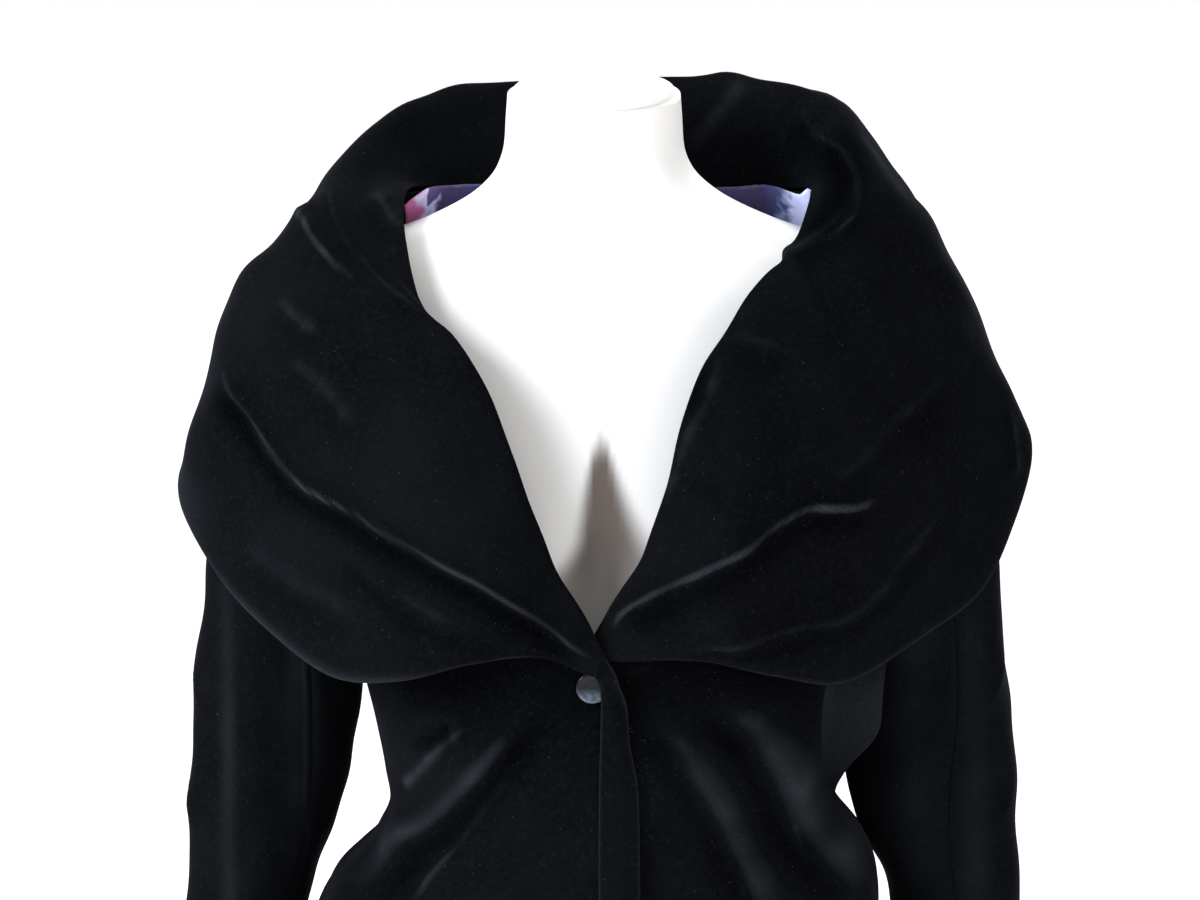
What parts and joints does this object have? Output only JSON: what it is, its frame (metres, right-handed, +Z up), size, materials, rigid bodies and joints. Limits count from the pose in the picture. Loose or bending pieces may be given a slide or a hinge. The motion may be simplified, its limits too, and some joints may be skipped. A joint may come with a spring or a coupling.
{
  "type": "velvet shawl-collar overcoat on limbless dress form",
  "caption": "Long black velvet overcoat with a deep stand-away shawl collar and one button, worn by a white limbless dress form on a round stand.",
  "frame": {"origin": "on the floor, at the middle of the underside of the dress form's round base", "axes": "+Z up; -Y toward the coat's front opening; +X toward the wearer's left"},
  "size_m": [0.6207, 0.4516, 1.5108],
  "materials": {
    "velvet": "matt pile with a soft sheen at grazing angles",
    "lining": "satin with a blotchy violet, blue and magenta pattern",
    "button_gloss": "polished",
    "form_shell": "satin white",
    "stand_metal": "smooth paint"
  },
  "bodies": {
    "root": {"shawl_collar": "velvet", "front_right": "velvet", "front_left": "velvet", "front_band": "velvet", "back": "velvet", "sleeve_right_upper": "velvet", "sleeve_right_under": "velvet", "sleeve_left_upper": "velvet", "sleeve_left_under": "velvet", "neck_lining": "lining", "button": "button_gloss", "form_torso": "form_shell", "form_neck_cap": "form_shell", "form_pole": "stand_metal", "form_base": "stand_metal"}
  },
  "joints": []
}
